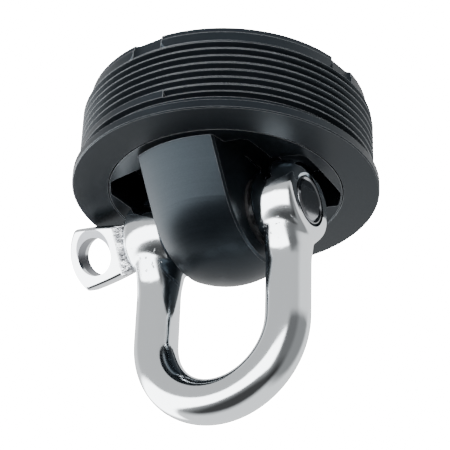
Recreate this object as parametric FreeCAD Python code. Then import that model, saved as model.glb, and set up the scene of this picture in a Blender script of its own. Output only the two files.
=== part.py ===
import FreeCAD, Part
import math
import os

# Flush-mounting swivel padeye with a screw-pin shackle, in millimetres.
# The threaded body sits in a hole through a deck or a beam. A hub turns in it on two
# rows of balls, and the hub's nose carries the shackle.
# Origin: centre of the flange's outer face. +Z runs up the thread, into the deck.
# X is the shackle pin's axis at rest, with the pin's eye on the -X side.

V = FreeCAD.Vector
ORIGIN = V(0, 0, 0)
UP = V(0, 0, 1)
ALONG_X = V(1, 0, 0)

# --- threaded body -------------------------------------------------------------------
flange_radius = 28.0
flange_thickness = 1.8
thread_radius = 27.0
thread_pitch = 1.5
thread_top = 14.4
thread_start_angle = -83.0
thread_start_height = 4.57
relief_height = 1.7
collar_radius = 26.05
collar_top = 18.3
rim_band_height = 1.2
rim_band_step = 0.2
scallop_angles = (-93.0, -7.5, 87.0, 172.5)
scallop_width = 6.0
scallop_depth = 1.05
scallop_corner = 0.9
mouth_radius = 21.35
mouth_bevel = 0.15
lip_thickness = 2.2
lower_bore_radius = 23.6
upper_bore_radius = 24.0
upper_bore_bottom = 9.3
edge_break = 0.2
flank_angle = 30.0
root_flat = 7 / 8
cut_depth = 17 / 24

# --- hub and its nose ----------------------------------------------------------------
neck_gap = 0.1
dish_angle = 12.0
nose_radius = 16.13
nose_centre_drop = 0.93
nose_flare_angle = 29.0
lug_thickness = 15.5
lug_edge_break = 0.35
pin_drop = 6.0
shoulder_radius = 22.9
shoulder_top = 9.2
journal_radius = 20.0
hub_top = 12.4
pocket_top = 9.0
pocket_play = 1.2
pocket_far = 13.3
pocket_near_share = 0.55
pocket_corner = 3.2
pocket_wall = 0.3
channel_width = 4.25
channel_far = 13.6
channel_corner = 1.5

# --- ball bearings and seals ---------------------------------------------------------
seal_height = 1.0
seal_lip = 0.3
race_height = 0.8
race_clearance = 0.3
race_press_gap = 0.02
outer_race_rise = 0.3
ball_diameter = 1.5
ball_play = 0.02
thrust_ball_circle = 22.4
thrust_ball_count = 52
radial_ball_circle = 21.7
radial_ball_count = 48
cage_ball_play = 0.06
thrust_cage_height = 0.7
radial_cage_height = 2.3
radial_cage_half_wall = 0.5
cage_gap = 0.2
running_gap = 0.05
fitted_gap = 0.05
seal_touch = 0.02

# --- cover ---------------------------------------------------------------------------
cover_bottom = 13.9
cover_top = 15.75
skirt_width = 1.5
cover_ring_section = 1.1
spanner_hole_radius = 1.5
spanner_hole_circle = 15.0
spanner_hole_floor = 0.6
snap_ring_height = 0.9
snap_groove_depth = 0.4
snap_ring_width = 1.4
snap_ring_gap_angle = 24.0
snap_ring_turn = 130.0
snap_lug_radius = 2.0
snap_lug_inset = 0.6
snap_lug_hole_radius = 0.8
snap_lug_angle = 3.0
washer_height = 0.6
washer_inner_radius = 10.0
washer_inset = 0.5
spring_height = 0.3
spring_waves = 4
spring_inner_radius = 13.0
spring_inset = 2.0

# --- shackle -------------------------------------------------------------------------
rod_radius = 4.0
bow_centre_drop = 21.6
ear_side_play = 0.8
ear_extra_width = 0.3
ear_wall = 4.2
ear_face_wall = 2.9
ear_edge_round = 0.8
neck_length = 13.5
neck_inset = 0.4
pin_radius = 4.0
pin_play = 0.06
pin_end_bevel = 0.5
pin_shoulder_step = 1.2
pin_shoulder_length = 1.6
eye_reach = 9.9
eye_hole_radius = 3.6
eye_thickness = 3.8
eye_neck_half = 3.9
eye_half_width = 6.0
eye_end_wall = 5.5
eye_corner_drop = 2.3
eye_corner_round = 1.2
eye_side_bulge = 0.3
eye_tilt = 29.5
eye_edge_round = 0.8
bush_wall = 1.0
bush_flange_step = 1.2
bush_flange_thickness = 0.6

# --- sizes that follow from the ones above -------------------------------------------
neck_radius = mouth_radius - neck_gap
lug_half = lug_thickness / 2
seal_top = lip_thickness + seal_height
lower_race_top = seal_top + race_height
thrust_ball_height = lower_race_top + ball_diameter / 2 + ball_play
upper_race_bottom = thrust_ball_height + ball_diameter / 2 + ball_play
shoulder_bottom = upper_race_bottom + race_height
inner_race_outer = radial_ball_circle - ball_diameter / 2 - ball_play
outer_race_inner = radial_ball_circle + ball_diameter / 2 + ball_play
outer_race_top = hub_top + outer_race_rise
radial_ball_height = (upper_bore_bottom + outer_race_top) / 2
snap_groove_radius = upper_bore_radius + snap_groove_depth
washer_top = hub_top + washer_height
bush_bore_radius = pin_radius + bush_wall
bush_flange_radius = bush_bore_radius + bush_flange_step
ear_inner = lug_half + bush_flange_thickness + ear_side_play
ear_outer = ear_inner + 2 * rod_radius + ear_extra_width
leg_offset = (ear_inner + ear_outer) / 2
pocket_reach = ear_outer + pocket_play
ear_radius = pin_radius + ear_wall
ear_face_radius = pin_radius + ear_face_wall
pocket_near = ear_radius * pocket_near_share
eye_centre = ear_outer + eye_reach

os.makedirs("parts", exist_ok=True)


def save(name, shape):
    """Write one named sub-part as a STEP file."""
    shape.exportStep("parts/" + name + ".step")


def ring(inner, outer, bottom, top):
    """A plain ring about Z."""
    height = top - bottom
    tube = Part.makeCylinder(outer, height, V(0, 0, bottom))
    return tube.cut(Part.makeCylinder(inner, height, V(0, 0, bottom)))


def turned(points):
    """A solid turned about Z, from (radius, height) corners."""
    corners = [V(r, 0, z) for r, z in points]
    outline = Part.makePolygon(corners + corners[:1])
    return Part.Face(outline).revolve(ORIGIN, UP, 360)


def at_angles(shape, angles):
    """Copies of a shape turned about Z, as one compound."""
    copies = []
    for angle in angles:
        copy = shape.copy()
        copy.rotate(ORIGIN, UP, angle)
        copies.append(copy)
    return Part.makeCompound(copies)


def spaced(count):
    """Equal angles round a circle."""
    return [360.0 * i / count for i in range(count)]


# --- threaded body -------------------------------------------------------------------
def thread_groove():
    """The helical V cut of the outside thread, open at its top end."""
    flank = math.tan(math.radians(flank_angle))
    depth = cut_depth * thread_pitch * math.cos(math.radians(flank_angle))
    crest_half = root_flat * thread_pitch / 2
    root_half = crest_half - depth * flank
    outside = 0.1
    root = thread_radius - depth
    profile = Part.makePolygon([
        V(root, 0, -root_half),
        V(thread_radius + outside, 0, -crest_half - outside * flank),
        V(thread_radius + outside, 0, crest_half + outside * flank),
        V(root, 0, root_half),
        V(root, 0, -root_half),
    ])
    rise = thread_top + thread_pitch - thread_start_height
    helix = Part.Wire(Part.makeHelix(thread_pitch, rise, thread_radius).Edges)
    groove = helix.makePipeShell([profile], True, True)
    groove.rotate(ORIGIN, UP, thread_start_angle)
    groove.translate(V(0, 0, thread_start_height))
    return groove


def scallop():
    """One spanner notch in the collar's side, round in its inner corners, facing +X."""
    floor = collar_radius - scallop_depth
    length = 3 * scallop_depth
    low = thread_top + thread_radius - collar_radius
    height = collar_top - low + 1
    half = scallop_width / 2
    block = Part.makeBox(length, scallop_width, height, V(floor, -half, low))
    corners = [e for e in block.Edges if abs(e.BoundBox.XMax - floor) < 1e-6]
    return block.makeFillet(scallop_corner, corners)


def threaded_body():
    """Flange, outside thread, notched collar and the stepped bore for the bearings."""
    chamfer = thread_radius - collar_radius
    relief_top = flange_thickness + relief_height
    relief_radius = collar_radius
    band = collar_top - rim_band_height
    body = turned([
        (mouth_radius + mouth_bevel, 0),
        (flange_radius - edge_break, 0),
        (flange_radius, edge_break),
        (flange_radius, flange_thickness - edge_break),
        (flange_radius - edge_break, flange_thickness),
        (relief_radius, flange_thickness),
        (relief_radius, relief_top),
        (thread_radius, relief_top + chamfer / 2),
        (thread_radius, thread_top),
        (collar_radius, thread_top + chamfer),
        (collar_radius, band),
        (collar_radius - rim_band_step, band + rim_band_step),
        (collar_radius - rim_band_step, collar_top - edge_break),
        (collar_radius - rim_band_step - edge_break, collar_top),
        (upper_bore_radius + edge_break, collar_top),
        (upper_bore_radius, collar_top - edge_break),
        (upper_bore_radius, cover_top + fitted_gap + snap_ring_height),
        (snap_groove_radius, cover_top + fitted_gap + snap_ring_height),
        (snap_groove_radius, cover_top),
        (upper_bore_radius, cover_top),
        (upper_bore_radius, upper_bore_bottom),
        (lower_bore_radius, upper_bore_bottom),
        (lower_bore_radius, lip_thickness),
        (mouth_radius, lip_thickness),
        (mouth_radius, mouth_bevel),
    ])
    body = body.cut(thread_groove())
    return body.cut(at_angles(scallop(), scallop_angles))


# --- hub and its nose ----------------------------------------------------------------
def nose():
    """Round nose that flares up into the dish, before its flats are cut."""
    flare = math.radians(nose_flare_angle)
    radius = nose_radius * math.cos(flare)
    height = -nose_centre_drop - nose_radius * math.sin(flare)
    pole = V(0, 0, -nose_centre_drop - nose_radius)
    middle_angle = math.radians((90 + nose_flare_angle) / 2)
    middle = V(nose_radius * math.cos(middle_angle), 0,
               -nose_centre_drop - nose_radius * math.sin(middle_angle))
    top_radius = neck_radius - 1
    top = height + (top_radius - radius) / math.tan(flare)
    edges = [
        Part.Arc(pole, middle, V(radius, 0, height)).toShape(),
        Part.LineSegment(V(radius, 0, height), V(top_radius, 0, top)).toShape(),
        Part.LineSegment(V(top_radius, 0, top), V(0, 0, top)).toShape(),
        Part.LineSegment(V(0, 0, top), pole).toShape(),
    ]
    return Part.Face(Part.Wire(edges)).revolve(ORIGIN, UP, 360)


def lug():
    """The nose between its two flats, with the edges of the flats broken."""
    size = 3 * neck_radius
    slab = Part.makeBox(lug_thickness, size, size, V(-lug_half, -size / 2, -size / 2))
    blade = nose().common(slab)
    rims = []
    for edge in blade.Edges:
        box = edge.BoundBox
        on_flat = box.XLength < 1e-4 and abs(abs(box.XMax) - lug_half) < 1e-4
        if on_flat and box.ZMin < -pin_drop:
            rims.append(edge)
    return blade.makeChamfer(lug_edge_break, rims)


def pocket():
    """The ear pocket on the +X side: a wide wing past the pin and a narrow channel."""
    height = pocket_top + 2 * nose_radius
    low = -2 * nose_radius
    wing_width = pocket_reach - lug_half
    wing = Part.makeBox(wing_width, pocket_far + pocket_near, height,
                        V(lug_half, -pocket_near, low))
    outer = [e for e in wing.Edges if e.BoundBox.ZLength > height / 2
             and abs(e.BoundBox.XMax - pocket_reach) < 1e-6 and e.BoundBox.YMax > 0]
    near = [e for e in wing.Edges if e.BoundBox.ZLength > height / 2
            and abs(e.BoundBox.XMax - pocket_reach) < 1e-6 and e.BoundBox.YMax < 0]
    wing = wing.makeFillet(pocket_corner, outer).makeFillet(channel_corner, near)
    inside_neck = Part.makeCylinder(neck_radius - pocket_wall, height, V(0, 0, low))
    wing = wing.common(inside_neck)
    channel = Part.makeBox(channel_width, channel_far, height, V(lug_half, -channel_far, low))
    end = [e for e in channel.Edges if e.BoundBox.ZLength > height / 2
           and e.BoundBox.YMax < -channel_far / 2 and e.BoundBox.XMax > lug_half + 1]
    return wing.fuse(channel.makeFillet(channel_corner, end))


def swivel_hub():
    """Dished disc, shoulder and journal in one piece with the lug."""
    dish_rise = neck_radius * math.tan(math.radians(dish_angle))
    disc = turned([
        (0, dish_rise),
        (neck_radius, 0),
        (neck_radius, shoulder_bottom),
        (shoulder_radius, shoulder_bottom),
        (shoulder_radius, shoulder_top),
        (journal_radius, shoulder_top),
        (journal_radius, hub_top),
        (0, hub_top),
    ])
    one_pocket = pocket()
    other_pocket = one_pocket.copy()
    other_pocket.rotate(ORIGIN, UP, 180)
    disc = disc.cut(one_pocket).cut(other_pocket)
    hub = disc.fuse(lug()).removeSplitter()
    bore = Part.makeCylinder(bush_bore_radius, 2 * lug_thickness,
                             V(-lug_thickness, 0, -pin_drop), ALONG_X)
    return hub.cut(bore)


def pin_bush(side):
    """A flanged plain bush pressed into one half of the lug's bore."""
    sleeve_length = lug_half - running_gap
    sleeve = Part.makeCylinder(bush_bore_radius, sleeve_length, V(running_gap, 0, -pin_drop), ALONG_X)
    flange = Part.makeCylinder(bush_flange_radius, bush_flange_thickness,
                               V(lug_half, 0, -pin_drop), ALONG_X)
    hole = Part.makeCylinder(pin_radius + pin_play, 2 * lug_thickness, V(0, 0, -pin_drop), ALONG_X)
    bush = sleeve.fuse(flange).cut(hole)
    if side < 0:
        bush.rotate(V(0, 0, -pin_drop), UP, 180)
    return bush


# --- ball bearings and seals ---------------------------------------------------------
def rim_seal():
    """Rubber ring behind the mouth that keeps water and grit out of the balls."""
    return turned([
        (neck_radius + running_gap, lip_thickness),
        (lower_bore_radius - fitted_gap, lip_thickness),
        (lower_bore_radius - fitted_gap, seal_top),
        (neck_radius + running_gap + seal_lip, seal_top),
        (neck_radius + running_gap, seal_top - seal_lip),
    ])


def lower_race():
    """Hard washer that the thrust balls roll on, fixed in the body."""
    return ring(neck_radius + race_clearance, lower_bore_radius - fitted_gap, seal_top, lower_race_top)


def upper_race():
    """Hard washer under the hub's shoulder, turning with the hub."""
    return ring(neck_radius + fitted_gap, shoulder_radius, upper_race_bottom, shoulder_bottom)


def thrust_balls():
    """The row of balls that carries the pull of the shackle."""
    ball = Part.makeSphere(ball_diameter / 2, V(thrust_ball_circle, 0, thrust_ball_height))
    return at_angles(ball, spaced(thrust_ball_count))


def thrust_cage():
    """Flat ring that keeps the thrust balls apart."""
    half = thrust_cage_height / 2
    blank = ring(neck_radius + cage_gap, lower_bore_radius - cage_gap,
                 thrust_ball_height - half, thrust_ball_height + half)
    hole = Part.makeCylinder(ball_diameter / 2 + cage_ball_play, 2 * thrust_cage_height,
                             V(thrust_ball_circle, 0, thrust_ball_height - thrust_cage_height))
    return blank.cut(at_angles(hole, spaced(thrust_ball_count)))


def radial_inner_race():
    """Sleeve on the hub's journal."""
    return ring(journal_radius + race_press_gap, inner_race_outer, shoulder_top, hub_top)


def radial_outer_race():
    """Sleeve on the step in the body's bore."""
    return ring(outer_race_inner, upper_bore_radius - fitted_gap, upper_bore_bottom, outer_race_top)


def radial_balls():
    """The row of balls that takes a sideways pull."""
    ball = Part.makeSphere(ball_diameter / 2, V(radial_ball_circle, 0, radial_ball_height))
    return at_angles(ball, spaced(radial_ball_count))


def radial_cage():
    """Thin sleeve that keeps the radial balls apart."""
    half = radial_cage_height / 2
    blank = ring(radial_ball_circle - radial_cage_half_wall,
                 radial_ball_circle + radial_cage_half_wall,
                 radial_ball_height - half, radial_ball_height + half)
    hole = Part.makeCylinder(ball_diameter / 2 + cage_ball_play, 2 * ball_diameter,
                             V(radial_ball_circle - ball_diameter, 0, radial_ball_height),
                             ALONG_X)
    return blank.cut(at_angles(hole, spaced(radial_ball_count)))


# --- cover ---------------------------------------------------------------------------
def top_washer():
    """Slippery washer on top of the hub, under the spring."""
    return ring(washer_inner_radius, journal_radius - washer_inset, hub_top, washer_top)


def wave_spring():
    """Wavy washer that takes up the end play between hub and cover."""
    room = cover_bottom - washer_top - spring_height
    mean = washer_top + room / 2
    wave = room / 2 - running_gap
    steps = 8 * spring_waves
    wires = []
    for radius in (spring_inner_radius, journal_radius - spring_inset):
        points = []
        for step in range(steps):
            angle = 2 * math.pi * step / steps
            height = mean + wave * math.sin(spring_waves * angle)
            points.append(V(radius * math.cos(angle), radius * math.sin(angle), height))
        curve = Part.BSplineCurve()
        curve.interpolate(points, PeriodicFlag=True)
        wires.append(Part.Wire(curve.toShape()))
    face = Part.makeRuledSurface(wires[0], wires[1])
    return face.extrude(V(0, 0, spring_height))


def cover_plate():
    """Disc that closes the top of the body, with a skirt that holds the outer race."""
    outer = upper_bore_radius - fitted_gap
    middle = (cover_bottom + cover_top) / 2
    groove_half = cover_ring_section / 2
    groove_floor = upper_bore_radius - seal_touch - cover_ring_section
    cover = turned([
        (0, cover_bottom),
        (outer - skirt_width, cover_bottom),
        (outer - skirt_width, outer_race_top),
        (outer, outer_race_top),
        (outer, middle - groove_half),
        (groove_floor, middle - groove_half),
        (groove_floor, middle + groove_half),
        (outer, middle + groove_half),
        (outer, cover_top - edge_break),
        (outer - edge_break, cover_top),
        (0, cover_top),
    ])
    hole = Part.makeCylinder(spanner_hole_radius, cover_top,
                             V(spanner_hole_circle, 0, cover_bottom + spanner_hole_floor))
    return cover.cut(at_angles(hole, spaced(2)))


def cover_seal():
    """Rubber ring in the cover's groove."""
    radius = cover_ring_section / 2
    middle = (cover_bottom + cover_top) / 2
    return Part.makeTorus(upper_bore_radius - seal_touch - radius, radius, V(0, 0, middle))


def snap_ring():
    """Split spring ring with two plier holes, in the groove above the cover."""
    bottom = cover_top + fitted_gap / 2
    top = bottom + snap_ring_height
    outer = snap_groove_radius - fitted_gap
    inner = outer - snap_ring_width
    half_gap = snap_ring_gap_angle / 2
    blank = ring(inner, outer, bottom, top)
    reach = 2 * outer
    wedge_point = V(reach, -reach * math.tan(math.radians(half_gap)), bottom)
    wedge = Part.Face(Part.makePolygon([
        V(0, 0, bottom), wedge_point, V(reach, -wedge_point.y, bottom), V(0, 0, bottom),
    ])).extrude(V(0, 0, snap_ring_height))
    split = blank.cut(wedge)
    lug_circle = outer - snap_lug_radius - snap_lug_inset
    centres = []
    for sign in (-1, 1):
        angle = math.radians(sign * (half_gap + snap_lug_angle))
        centres.append(V(lug_circle * math.cos(angle), lug_circle * math.sin(angle), bottom))
    for centre in centres:
        split = split.fuse(Part.makeCylinder(snap_lug_radius, snap_ring_height, centre))
    for centre in centres:
        split = split.cut(Part.makeCylinder(snap_lug_hole_radius, snap_ring_height, centre))
    split = split.removeSplitter()
    split.rotate(ORIGIN, UP, snap_ring_turn)
    return split


# --- shackle -------------------------------------------------------------------------
def ear(side):
    """One forged eye: a crowned ring about the pin, before its hole is drilled."""
    start = V(ear_inner, 0, ear_face_radius)
    crown = V((ear_inner + ear_outer) / 2, 0, ear_radius)
    finish = V(ear_outer, 0, ear_face_radius)
    edges = [
        Part.LineSegment(V(ear_inner, 0, 0), start).toShape(),
        Part.Arc(start, crown, finish).toShape(),
        Part.LineSegment(finish, V(ear_outer, 0, 0)).toShape(),
        Part.LineSegment(V(ear_outer, 0, 0), V(ear_inner, 0, 0)).toShape(),
    ]
    blank = Part.Face(Part.Wire(edges)).revolve(ORIGIN, ALONG_X, 360)
    rims = [e for e in blank.Edges if abs(e.Length - 2 * math.pi * ear_face_radius) < 1e-3]
    blank = blank.makeFillet(ear_edge_round, rims)
    blank.translate(V(0, 0, -pin_drop))
    if side < 0:
        blank.rotate(ORIGIN, UP, 180)
    return blank


def ellipse_wire(centre, half_x, half_y):
    """A level ellipse, wider along Y than along X."""
    curve = Part.Ellipse(centre + V(0, half_y, 0), centre + V(half_x, 0, 0), centre)
    return Part.Wire(curve.toShape())


def ear_neck(side):
    """The swelling along Y where a leg grows into its ear. It stays inside the rod along X."""
    narrow = rod_radius - neck_inset
    widest = ear_face_radius - neck_inset
    sections = []
    for share, spread in ((0.15, 1.0), (0.45, 0.8), (0.7, 0.36), (1, 0.02)):
        centre = V(side * leg_offset, 0, -pin_drop - neck_length * share)
        sections.append(ellipse_wire(centre, narrow, narrow + (widest - narrow) * spread))
    return Part.makeLoft(sections, True)


def shackle_bow():
    """The forged bow: two straight legs, a half-round bend and two ears."""
    bend_height = -pin_drop - bow_centre_drop
    leg_length = bow_centre_drop - (pin_radius + ear_face_radius) / 2
    reach = 2 * (leg_offset + rod_radius)
    below = Part.makeBox(2 * reach, 2 * reach, reach, V(-reach, -reach, bend_height - reach))
    bow = Part.makeTorus(leg_offset, rod_radius, V(0, 0, bend_height), V(0, 1, 0)).common(below)
    for side in (-1, 1):
        leg = Part.makeCylinder(rod_radius, leg_length, V(side * leg_offset, 0, bend_height))
        bow = bow.fuse(leg)
        bow = bow.fuse(ear_neck(side))
        bow = bow.fuse(ear(side))
    bow = bow.removeSplitter()
    hole = Part.makeCylinder(pin_radius + pin_play, 2 * reach, V(-reach, 0, -pin_drop), ALONG_X)
    return bow.cut(hole)


def shackle_pin():
    """Screw pin: plain shank, threaded end flush with the far ear, flat eye to turn it by."""
    head = ear_outer + running_gap
    length = head + pin_shoulder_length + ear_outer
    shank = Part.makeCylinder(pin_radius, length, V(-head - pin_shoulder_length, 0, 0), ALONG_X)
    tip = [e for e in shank.Edges if e.BoundBox.XMin > ear_outer - 1e-3]
    shank = shank.makeChamfer(pin_end_bevel, tip)
    shoulder = Part.makeCylinder(pin_radius + pin_shoulder_step, pin_shoulder_length,
                                 V(-head - pin_shoulder_length, 0, 0), ALONG_X)
    half = eye_thickness / 2
    neck_x = -head - pin_shoulder_length / 2
    end_x = -eye_centre - eye_end_wall
    corner_x = end_x + eye_corner_drop
    near_low = V(neck_x, -half, -eye_neck_half)
    near_high = V(neck_x, -half, eye_neck_half)
    upper = V(corner_x, -half, eye_half_width)
    lower = V(corner_x, -half, -eye_half_width)
    middle_x = (neck_x + corner_x) / 2
    side_height = (eye_neck_half + eye_half_width) / 2 + eye_side_bulge
    edges = [
        Part.LineSegment(near_low, near_high).toShape(),
        Part.Arc(near_high, V(middle_x, -half, side_height), upper).toShape(),
        Part.Arc(upper, V(end_x, -half, 0), lower).toShape(),
        Part.Arc(lower, V(middle_x, -half, -side_height), near_low).toShape(),
    ]
    plate = Part.Face(Part.Wire(edges)).extrude(V(0, eye_thickness, 0))
    upright = [e for e in plate.Edges if e.BoundBox.YLength > half
               and e.BoundBox.XMax < middle_x]
    plate = plate.makeFillet(eye_corner_round, upright)
    rims = [e for e in plate.Edges if e.BoundBox.YLength < 1e-6
            and e.BoundBox.XMax - e.BoundBox.XMin > 1e-3]
    plate = plate.makeFillet(eye_edge_round, rims)
    hole = Part.makeCylinder(eye_hole_radius, 2 * eye_thickness,
                             V(-eye_centre, -eye_thickness, 0), V(0, 1, 0))
    pin = shank.fuse(shoulder).fuse(plate).removeSplitter().cut(hole)
    pin.rotate(ORIGIN, ALONG_X, eye_tilt)
    pin.translate(V(0, 0, -pin_drop))
    return pin


save("threaded_body", threaded_body())
save("swivel_hub", swivel_hub())
save("pin_bush_eye_side", pin_bush(-1))
save("pin_bush_thread_side", pin_bush(1))
save("rim_seal", rim_seal())
save("lower_race", lower_race())
save("thrust_balls", thrust_balls())
save("thrust_cage", thrust_cage())
save("upper_race", upper_race())
save("radial_inner_race", radial_inner_race())
save("radial_balls", radial_balls())
save("radial_cage", radial_cage())
save("radial_outer_race", radial_outer_race())
save("top_washer", top_washer())
save("wave_spring", wave_spring())
save("cover_plate", cover_plate())
save("cover_seal", cover_seal())
save("snap_ring", snap_ring())
save("shackle_bow", shackle_bow())
save("shackle_pin", shackle_pin())
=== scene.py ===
import math

import bpy
from mathutils import Matrix, Vector


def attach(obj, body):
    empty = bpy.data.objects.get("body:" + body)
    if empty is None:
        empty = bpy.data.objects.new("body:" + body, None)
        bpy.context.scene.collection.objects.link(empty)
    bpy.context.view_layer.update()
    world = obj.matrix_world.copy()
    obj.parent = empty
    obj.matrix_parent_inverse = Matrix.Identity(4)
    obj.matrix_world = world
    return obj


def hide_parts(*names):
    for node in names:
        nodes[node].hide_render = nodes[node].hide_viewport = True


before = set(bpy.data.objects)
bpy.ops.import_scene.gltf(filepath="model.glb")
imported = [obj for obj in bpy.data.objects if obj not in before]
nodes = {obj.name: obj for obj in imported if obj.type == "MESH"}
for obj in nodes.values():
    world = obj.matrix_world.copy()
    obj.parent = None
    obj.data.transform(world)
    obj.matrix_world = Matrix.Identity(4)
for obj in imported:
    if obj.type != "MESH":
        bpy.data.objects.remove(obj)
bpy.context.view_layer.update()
MM = 0.001


# --- Camera --------------------------------------------------------------------------
# The fitting is seen as it hangs from a deck or beam overhead, so the camera is below
# it and looks up at the flange. A long lens keeps the round parts in proportion.
lens_length = 125.14
sensor_width = 36.0
around = math.radians(31.66)
above = math.radians(-30.05)
roll = math.radians(2.05)
object_in_view = Vector((0.1, 5.623, -285.0)) * MM

to_camera = Vector((math.sin(around) * math.cos(above),
                    -math.cos(around) * math.cos(above), math.sin(above)))
level_right = Vector((math.cos(around), math.sin(around), 0))
level_up = to_camera.cross(level_right)
camera_right = level_right * math.cos(roll) + level_up * math.sin(roll)
camera_up = level_up * math.cos(roll) - level_right * math.sin(roll)
turn = Matrix((camera_right, camera_up, to_camera)).transposed()

camera = bpy.data.objects.new("camera", bpy.data.cameras.new("camera"))
bpy.context.scene.collection.objects.link(camera)
camera.data.sensor_width = sensor_width
camera.data.lens = lens_length
camera.data.clip_start = 0.01
camera.matrix_world = Matrix.Translation(-(turn @ object_in_view)) @ turn.to_4x4()
bpy.context.scene.camera = camera


# --- Threaded body -------------------------------------------------------------------
# One turned aluminium ring: flange, outside thread, notched collar and stepped bore.
# It is cut on a lathe, so every face keeps fine marks that run round the axis, and it
# is then anodised satin black.
class Number:
    """A number that changes over a surface. A sum written with it adds its Math nodes."""

    def __init__(self, finish, socket):
        self.finish = finish
        self.socket = socket

    def maths(self, operation, *values):
        return self.finish.node("ShaderNodeMath", {"operation": operation},
                                dict(enumerate(values)))

    def __add__(self, other):
        return self.maths("ADD", self, other)

    def __sub__(self, other):
        return self.maths("SUBTRACT", self, other)

    def __rsub__(self, other):
        return self.maths("SUBTRACT", other, self)

    def __mul__(self, other):
        return self.maths("MULTIPLY", self, other)

    def __pow__(self, other):
        return self.maths("POWER", self, other)

    __radd__ = __add__
    __rmul__ = __mul__

    def size(self):
        """The number without its sign."""
        return self.maths("ABSOLUTE", self)

    def fade(self, low, high):
        """0 below low, 1 above high and smooth between them."""
        return self.finish.node("ShaderNodeMapRange", {"interpolation_type": "SMOOTHSTEP"},
                                {0: self, 1: low, 2: high})


class Finish:
    """One procedural surface: its shader's fixed values and the nodes that vary it."""

    def __init__(self, name, fixed):
        self.material = bpy.data.materials.new(name)
        self.material.use_nodes = True
        self.tree = self.material.node_tree
        self.shader = self.tree.nodes["Principled BSDF"]
        for socket, value in fixed.items():
            self.shader.inputs[socket].default_value = value
        self.place = self.node("ShaderNodeTexCoord", {}, {}, "Object")

    def node(self, kind, settings, values, output=0):
        made = self.tree.nodes.new(kind)
        for key, value in settings.items():
            setattr(made, key, value)
        for socket, value in values.items():
            self.join(made.inputs[socket], value)
        return Number(self, made.outputs[output])

    def join(self, socket, value):
        if isinstance(value, Number):
            self.tree.links.new(value.socket, socket)
        else:
            socket.default_value = value

    def axes(self):
        """The surface point's x, y and z in metres."""
        split = self.node("ShaderNodeSeparateXYZ", {}, {0: self.place})
        return [Number(self, out) for out in split.socket.node.outputs]

    def noise(self, scale, detail=2.0, place=None):
        """Cloudy noise from 0 to 1, with about this many clouds in a metre."""
        return self.node("ShaderNodeTexNoise", {},
                         {"Vector": place or self.place, "Scale": scale, "Detail": detail})

    def blend(self, amount, first, second):
        """A colour between two others."""
        return self.node("ShaderNodeMix", {"data_type": "RGBA"},
                         {0: amount, 6: first, 7: second}, 2)

    def relief(self, height, depth, strength=1.0, before=None):
        """Bumps of this depth in metres, over any bumps made before."""
        values = {"Height": height, "Distance": depth, "Strength": strength}
        if before:
            values["Normal"] = before
        return self.node("ShaderNodeBump", {}, values)

    def vary(self, **sockets):
        """Join what changes over the surface to the shader."""
        for socket, value in sockets.items():
            self.join(self.shader.inputs[socket.replace("_", " ")], value)

    def on(self, *pieces):
        for piece in pieces:
            piece.data.materials.clear()
            piece.data.materials.append(self.material)

    def round_marks(self):
        """Fine and coarse tool marks that run round Z, each from 0 to 1."""
        x, y, z = self.axes()
        radius = (x * x + y * y) ** 0.5
        along = self.node("ShaderNodeCombineXYZ", {}, {0: radius, 1: z})
        return self.noise(9000.0, 2.0, along), self.noise(1500.0, 1.0, along)


edge_radius = 0.2 * MM
# The pale colour of the highlight painted along every edge.
edge_highlight_colour = (0.36, 0.38, 0.4, 1)


def turned_black(name, dark, light, rough, depth):
    """Black anodised aluminium, with lathe marks of this depth in metres and a painted highlight
    along its edges.
    """
    finish = Finish(name, {"IOR": 1.42, "Specular IOR Level": 0.36, "Anisotropic": 0.5,
                           "Specular Tint": (0.7, 0.87, 1.0, 1)})
    fine, coarse = finish.round_marks()
    cloud = finish.noise(70.0, 4.0)
    grain = finish.noise(5200.0, 3.0)
    tone = cloud * 0.45 + coarse * 0.15 + fine * 0.1 + grain * 0.3
    rounded = finish.node("ShaderNodeBevel", {"samples": 6}, {"Radius": edge_radius})
    true = finish.node("ShaderNodeNewGeometry", {}, {}, "Normal")
    facing = finish.node("ShaderNodeVectorMath", {"operation": "DOT_PRODUCT"},
                         {0: rounded, 1: true}, "Value")
    # Where the rounded edge normal leaves the true normal, the colour is paler: a painted
    # highlight along edges and thread crests.
    edge_highlight = (1 - facing).fade(0.01, 0.1) * (0.55 + coarse * 0.45)
    turned = finish.relief(fine * 0.6 + coarse * 0.4, depth)
    anodised = finish.blend(tone.fade(0.3, 0.7), dark, light)
    finish.vary(Base_Color=finish.blend(edge_highlight, anodised, edge_highlight_colour),
                Roughness=rough + (cloud - 0.5) * 0.14 + (fine - 0.5) * 0.08,
                Normal=finish.relief(grain, depth * 1.5, 1.0, turned))
    return finish


turned_black("body_anodised", (0.0065, 0.0085, 0.011, 1), (0.015, 0.019, 0.024, 1),
             0.36, 0.0000035).on(nodes["threaded_body"])


# --- Rim seal and lower race ---------------------------------------------------------
# A moulded rubber ring lies on the lip inside the mouth and wipes the hub's neck. On it
# sits a ground washer of hard steel, the track for the balls that carry the load.
rubber = Finish("seal_rubber", {"Base Color": (0.012, 0.012, 0.013, 1), "IOR": 1.5})
bloom = rubber.noise(900.0, 4.0)
rubber.vary(Roughness=0.55 + (bloom - 0.5) * 0.3,
            Base_Color=rubber.blend(bloom.fade(0.35, 0.75), (0.01, 0.01, 0.011, 1),
                                    (0.022, 0.022, 0.023, 1)),
            Normal=rubber.relief(rubber.noise(6000.0), 0.000004))
rubber.on(nodes["rim_seal"])


def ground_steel(name, colour, stain, rough, depth):
    """Bare steel with grinding marks round Z and a faint stain."""
    finish = Finish(name, {"Metallic": 1.0})
    fine, coarse = finish.round_marks()
    cloud = finish.noise(260.0, 4.0)
    finish.vary(Base_Color=finish.blend(cloud.fade(0.45, 0.8), colour, stain),
                Roughness=rough + (fine - 0.5) * 0.16 + (cloud - 0.5) * 0.1,
                Normal=finish.relief(fine * 0.7 + coarse * 0.3, depth))
    return finish


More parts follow.
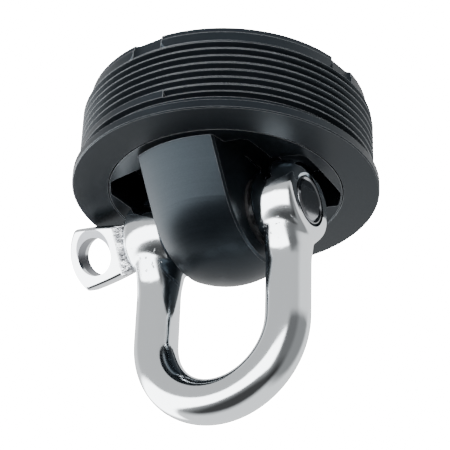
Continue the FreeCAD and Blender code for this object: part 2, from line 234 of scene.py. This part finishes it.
race_steel = ground_steel("race_steel", (0.58, 0.58, 0.59, 1), (0.46, 0.45, 0.43, 1),
                          0.26, 0.0000012)
race_steel.on(nodes["lower_race"])


# --- Thrust balls and their cage -----------------------------------------------------
# Polished stainless balls run between the two washers. A moulded ring with a pocket for
# each ball keeps them apart, and goes round at half the hub's speed.
ball_steel = Finish("ball_steel", {"Base Color": (0.78, 0.79, 0.8, 1), "Metallic": 1.0})
film = ball_steel.noise(1100.0, 3.0)
ball_steel.vary(Roughness=0.06 + film * 0.1, Normal=ball_steel.relief(film, 0.000001))
ball_steel.on(nodes["thrust_balls"], nodes["radial_balls"])

cage_plastic = Finish("cage_plastic", {"IOR": 1.48, "Subsurface Weight": 0.08,
                                       "Subsurface Scale": 0.0004})
mottle = cage_plastic.noise(500.0, 3.0)
cage_plastic.vary(Base_Color=cage_plastic.blend(mottle.fade(0.3, 0.7), (0.72, 0.69, 0.6, 1),
                                                (0.8, 0.78, 0.71, 1)),
                  Roughness=0.42 + (mottle - 0.5) * 0.2,
                  Normal=cage_plastic.relief(cage_plastic.noise(4000.0), 0.000002))
cage_plastic.on(nodes["thrust_cage"], nodes["radial_cage"])


# --- Hub -----------------------------------------------------------------------------
# Dished disc, round nose and journal are one aluminium turning. The nose has two milled
# flats for the shackle's eyes, and two pockets beside it let the eyes swing. It is
# anodised black like the body, and carries the upper race on its shoulder.
turned_black("hub_anodised", (0.006, 0.008, 0.0105, 1), (0.0145, 0.018, 0.023, 1),
             0.36, 0.000003).on(nodes["swivel_hub"])
race_steel.on(nodes["upper_race"])


# --- Pin bushes ----------------------------------------------------------------------
# Two flanged bushes of black bearing plastic, pressed in from each flat, line the hole
# in the nose and keep the pin and the shackle's eyes off the anodising.
bush_plastic = Finish("bush_plastic", {"IOR": 1.5})
swirl = bush_plastic.noise(1200.0, 3.0)
bush_plastic.vary(Base_Color=bush_plastic.blend(swirl.fade(0.3, 0.7), (0.014, 0.014, 0.015, 1),
                                                (0.028, 0.028, 0.03, 1)),
                  Roughness=0.4 + (swirl - 0.5) * 0.25,
                  Normal=bush_plastic.relief(swirl, 0.000003))
bush_plastic.on(nodes["pin_bush_eye_side"], nodes["pin_bush_thread_side"])


# --- Side bearing --------------------------------------------------------------------
# A second row of balls takes the sideways pull. It runs between a ground sleeve on the
# hub's journal and another against the step in the body's bore.
race_steel.on(nodes["radial_inner_race"], nodes["radial_outer_race"])


# --- Washer and wave spring ----------------------------------------------------------
# A slippery plastic washer lies on the hub's top. A wavy ring of rolled spring steel on
# it pushes the hub down, so that the bearing has no rattle.
washer_plastic = Finish("washer_plastic", {"IOR": 1.45})
speck = washer_plastic.noise(2600.0, 2.0)
washer_plastic.vary(Base_Color=washer_plastic.blend(speck.fade(0.45, 0.7),
                                                    (0.055, 0.055, 0.05, 1),
                                                    (0.12, 0.118, 0.108, 1)),
                    Roughness=0.45 + (speck - 0.5) * 0.2,
                    Normal=washer_plastic.relief(speck, 0.000002))
washer_plastic.on(nodes["top_washer"])
ground_steel("spring_steel", (0.46, 0.46, 0.47, 1), (0.33, 0.32, 0.31, 1),
             0.32, 0.0000015).on(nodes["wave_spring"])


# --- Cover and its seal --------------------------------------------------------------
# A turned black disc closes the top. A rubber ring in its edge keeps water out, and two
# blind holes in its face take a pin spanner while it is pressed home.
turned_black("cover_anodised", (0.007, 0.009, 0.0115, 1), (0.016, 0.02, 0.025, 1),
             0.33, 0.000004).on(nodes["cover_plate"])
rubber.on(nodes["cover_seal"])


# --- Snap ring -----------------------------------------------------------------------
# A stamped ring of spring steel holds the cover down. Its two ears have holes for the
# pliers that close it.
ground_steel("ring_steel", (0.5, 0.5, 0.51, 1), (0.34, 0.33, 0.32, 1),
             0.28, 0.000002).on(nodes["snap_ring"])


# --- Shackle bow ---------------------------------------------------------------------
# An 8 mm stainless bar, forged into a U with a thick eye at each end, drilled for the
# pin and then polished bright. The eyes bulge a little, and the polishing leaves some
# small pits of the forging's skin under each eye.
rod_radius = 4.0 * MM
leg_offset = 13.3 * MM
pin_height = -6.0 * MM
bend_height = pin_height - 21.6 * MM
eye_radius = 8.2 * MM
eye_bulge_length = 7.68 * MM
eye_half_width = 4.15 * MM
skin_step = 0.24 * MM
smoothing_rounds = 30
neck_steps = ((11.8, 1.0), (10.4, 1.06), (8.8, 1.2), (6.8, 1.38), (5.0, 1.5), (2.4, 1.56))


def active_mesh():
    """The object just added, with its place and turn moved into its mesh."""
    made = bpy.context.object
    bpy.ops.object.transform_apply(location=True, rotation=True, scale=True)
    return made


def select_where(piece, wanted):
    """In edit mode, select only the vertices whose place passes the test."""
    bpy.ops.mesh.select_mode(type="VERT")
    bpy.ops.mesh.select_all(action="DESELECT")
    bpy.ops.object.mode_set(mode="OBJECT")
    for vertex in piece.data.vertices:
        vertex.select = wanted(vertex.co)
    bpy.ops.object.mode_set(mode="EDIT")


def apply_modifier(piece, kind, **settings):
    modifier = piece.modifiers.new(kind.lower(), kind)
    for key, value in settings.items():
        setattr(modifier, key, value)
    bpy.ops.object.select_all(action="DESELECT")
    piece.select_set(True)
    bpy.context.view_layer.objects.active = piece
    bpy.ops.object.modifier_apply(modifier=modifier.name)


def join(pieces, name):
    """Make one object of several."""
    bpy.ops.object.select_all(action="DESELECT")
    for piece in pieces:
        piece.select_set(True)
    bpy.context.view_layer.objects.active = pieces[0]
    bpy.ops.object.join()
    pieces[0].name = name
    pieces[0].data.name = name
    return pieces[0]


def carve(piece, cutter):
    """Cut one mesh with another, and remove the cutter."""
    apply_modifier(piece, "BOOLEAN", object=cutter, operation="DIFFERENCE", solver="EXACT")
    bpy.data.objects.remove(cutter)


bpy.ops.object.select_all(action="DESELECT")
bpy.ops.mesh.primitive_torus_add(major_radius=leg_offset, minor_radius=rod_radius,
                                 major_segments=144, minor_segments=48,
                                 location=(0, 0, bend_height), rotation=(math.pi / 2, 0, 0))
bend = active_mesh()
bpy.ops.object.mode_set(mode="EDIT")
bpy.ops.mesh.select_all(action="SELECT")
bpy.ops.mesh.bisect(plane_co=(0, 0, bend_height), plane_no=(0, 0, 1), clear_outer=True)
select_where(bend, lambda place: abs(place.z - bend_height) < 0.01 * MM)
level = bend_height
depth = 1.0
for drop, widening in neck_steps:
    height = pin_height - drop * MM
    bpy.ops.mesh.extrude_edges_move(TRANSFORM_OT_translate={"value": (0, 0, height - level)})
    bpy.ops.transform.resize(value=(1, widening / depth, 1), center_override=(0, 0, height))
    level = height
    depth = widening
bpy.ops.mesh.edge_face_add()
for side in (-1, 1):
    select_where(bend, lambda place: side * place.x > 0 and place.z > level - 0.01 * MM)
    bpy.ops.mesh.edge_face_add()
bpy.ops.object.mode_set(mode="OBJECT")

forging = [bend]
for side in (-1, 1):
    bpy.ops.mesh.primitive_uv_sphere_add(segments=128, ring_count=64, radius=eye_radius,
                                         location=(side * leg_offset, 0, pin_height),
                                         rotation=(0, math.pi / 2, 0))
    eye = active_mesh()
    middle = (side * leg_offset, 0, pin_height)
    bpy.ops.object.mode_set(mode="EDIT")
    bpy.ops.mesh.select_all(action="SELECT")
    bpy.ops.transform.resize(value=(eye_bulge_length / eye_radius, 1, 1), center_override=middle)
    for face in (-1, 1):
        bpy.ops.mesh.select_all(action="SELECT")
        bpy.ops.mesh.bisect(plane_co=(middle[0] + face * eye_half_width, 0, 0),
                            plane_no=(face, 0, 0), clear_outer=True, use_fill=True)
    bpy.ops.object.mode_set(mode="OBJECT")
    forging.append(eye)

bow = join(forging, "shackle_bow_forged")
apply_modifier(bow, "REMESH", mode="VOXEL", voxel_size=skin_step)
apply_modifier(bow, "SMOOTH", factor=0.5, iterations=smoothing_rounds)

bore_radius = 4.06 * MM
recess_radius = 4.95 * MM
recess_depth = 1.3 * MM
eye_outer = leg_offset + eye_half_width
bpy.ops.object.select_all(action="DESELECT")
bpy.ops.mesh.primitive_cylinder_add(vertices=96, radius=bore_radius, depth=2.4 * eye_outer,
                                    location=(0, 0, pin_height), rotation=(0, math.pi / 2, 0))
carve(bow, active_mesh())
bpy.ops.object.select_all(action="DESELECT")
bpy.ops.mesh.primitive_cylinder_add(vertices=96, radius=recess_radius, depth=2 * recess_depth,
                                    location=(eye_outer, 0, pin_height),
                                    rotation=(0, math.pi / 2, 0))
carve(bow, active_mesh())
bpy.ops.object.shade_smooth_by_angle(angle=math.radians(35))

polished = Finish("shackle_steel", {"Metallic": 1.0})
x, y, z = polished.axes()
across = x.size() - leg_offset
outward = y.size()
sideways = across.size()
scuffs = polished.noise(700.0, 4.0)
buffing = polished.noise(5000.0, 2.0)
forged_face = outward.fade(3.2 * MM, 4.4 * MM) * (1 - sideways.fade(3.2 * MM, 4.2 * MM))
forged_height = z.fade(-15.8 * MM, -14.2 * MM) * (1 - z.fade(-11.6 * MM, -9.8 * MM))
forged = forged_face * forged_height
pits = polished.noise(1300.0, 3.0).fade(0.64, 0.7) * forged
rippled = polished.relief(polished.noise(260.0, 2.0), 0.000022)
pitted = polished.relief(1 - pits, 0.00005, 1.0, rippled)
satin = polished.noise(3200.0, 3.0) * forged
polished.vary(Base_Color=polished.blend(pits * 0.8, (0.76, 0.8, 0.83, 1), (0.1, 0.1, 0.11, 1)),
              Roughness=0.1 + (scuffs - 0.5) * 0.1 + (buffing - 0.5) * 0.06 + forged * 0.12,
              Normal=polished.relief(buffing * 0.2 + satin, 0.0000022, 1.0, pitted))
polished.on(bow)
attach(bow, "shackle")
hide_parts("shackle_bow")


# --- Screw pin -----------------------------------------------------------------------
# Turned from stainless bar, with a forged flat eye at its head that a spike can turn.
# The eye's root keeps the rough skin of the forging. Its other end is a dull flat face
# inside the far eye's recess.
eye_hole_x = -27.35 * MM
eye_hole_radius = 3.6 * MM
end_lip = 0.4794255
pin_steel = Finish("pin_steel", {"Metallic": 1.0})
x, y, z = pin_steel.axes()
level = z - pin_height
from_hole = ((x - eye_hole_x) * (x - eye_hole_x) + level * level) ** 0.5
drilled = 1 - from_hole.fade(eye_hole_radius + 0.02 * MM, eye_hole_radius + 0.12 * MM)
end_face = x.fade(eye_outer - 0.35 * MM, eye_outer - 0.25 * MM)
root_zone = x.fade(-22.6 * MM, -21.6 * MM) * (1 - x.fade(-18.8 * MM, -18.3 * MM))
along_root = pin_steel.node("ShaderNodeMapping", {}, {0: pin_steel.place, 3: (1.0, 1.0, 3.0)})
lumps = pin_steel.noise(420.0, 3.0, along_root)
scuffs = pin_steel.noise(900.0, 3.0)
dull = drilled + end_face * 0.75 + root_zone * lumps.fade(0.42, 0.56)
skin = pin_steel.relief(lumps * root_zone, 0.0011)
turned_end = pin_steel.relief(end_face * end_lip, 0.00012, 1.0, skin)
pin_steel.vary(Base_Color=pin_steel.blend(dull.fade(0.0, 1.0), (0.78, 0.81, 0.84, 1),
                                          (0.24, 0.25, 0.27, 1)),
               Roughness=0.12 + (scuffs - 0.5) * 0.1 + root_zone * 0.2 + drilled * 0.25,
               Normal=pin_steel.relief(scuffs, 0.000002, 1.0, turned_end))
pin_steel.on(nodes["shackle_pin"])

pin_end_radius = 4.42 * MM
pin_end_length = 1.1 * MM
end_steps = ((0.3, 0.0), (0.3, -0.3))
rim_rounding = 0.12 * MM
bpy.ops.object.select_all(action="DESELECT")
bpy.ops.mesh.primitive_cylinder_add(vertices=96, radius=pin_end_radius, depth=pin_end_length,
                                    location=(eye_outer - pin_end_length / 2, 0, pin_height),
                                    rotation=(0, math.pi / 2, 0))
pin_end = active_mesh()
pin_end.name = "shackle_pin_end"
bpy.ops.object.mode_set(mode="EDIT")
select_where(pin_end, lambda place: place.x > eye_outer - 0.01 * MM)
for ring_width, step in end_steps:
    bpy.ops.mesh.inset(thickness=ring_width * MM, depth=0)
    bpy.ops.transform.translate(value=(step * MM, 0, 0))
bpy.ops.object.mode_set(mode="OBJECT")
apply_modifier(pin_end, "BEVEL", width=rim_rounding, segments=3, limit_method="ANGLE",
               angle_limit=math.radians(20))
bpy.ops.object.shade_smooth_by_angle(angle=math.radians(40))
pin_steel.on(pin_end)
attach(pin_end, "shackle")


# --- Studio --------------------------------------------------------------------------
# A white backdrop behind the fitting, a light grey room in front of it with a dark
# floor by the camera, a wide low strip light ahead and to the left, and a dark card.
strip_heading = math.radians(43)
strip_strength = 8.5
backdrop_strength = 22.0
behind_strength = 1.35
card_shade = 0.75
world = bpy.data.worlds.new("studio")
bpy.context.scene.world = world
world.use_nodes = True


class Room(Finish):
    """The surroundings, painted by direction."""

    def __init__(self, world):
        self.tree = world.node_tree
        self.shader = self.tree.nodes["Background"]
        self.place = self.node("ShaderNodeTexCoord", {}, {}, "Generated")


room = Room(world)
x, y, z = room.axes()
behind = y.fade(-0.3, 0.1)
above_floor = z.fade(-0.75, -0.3)
ahead = x * -math.sin(strip_heading) + y * -math.cos(strip_heading)
strip_height = z.fade(-0.5, -0.4) * (1 - z.fade(0.08, 0.2))
strip_light = ahead.fade(0.1, 0.3) * strip_height
front = 0.07 + above_floor * 0.71
card = x.fade(0.45, 0.75) * (1 - z.fade(0.25, 0.45))
seen = room.node("ShaderNodeLightPath", {}, {}, "Is Camera Ray")
lit = (front + behind * (behind_strength - front)) * (1 - card * card_shade)
glow = lit + strip_light * (strip_strength - lit)
room.join(room.shader.inputs["Strength"], glow + seen * (backdrop_strength - glow))
room.shader.inputs["Color"].default_value = (1.0, 1.0, 1.0, 1)

floor_height = -0.35
floor_size = 6.0
bpy.ops.object.select_all(action="DESELECT")
bpy.ops.mesh.primitive_plane_add(size=floor_size, location=(0, 0, floor_height))
floor = active_mesh()
floor.name = "floor"
pale = Finish("pale_floor", {"Base Color": (0.85, 0.85, 0.85, 1), "Roughness": 0.9})
pale.on(floor)
floor.visible_glossy = False
floor.visible_diffuse = False
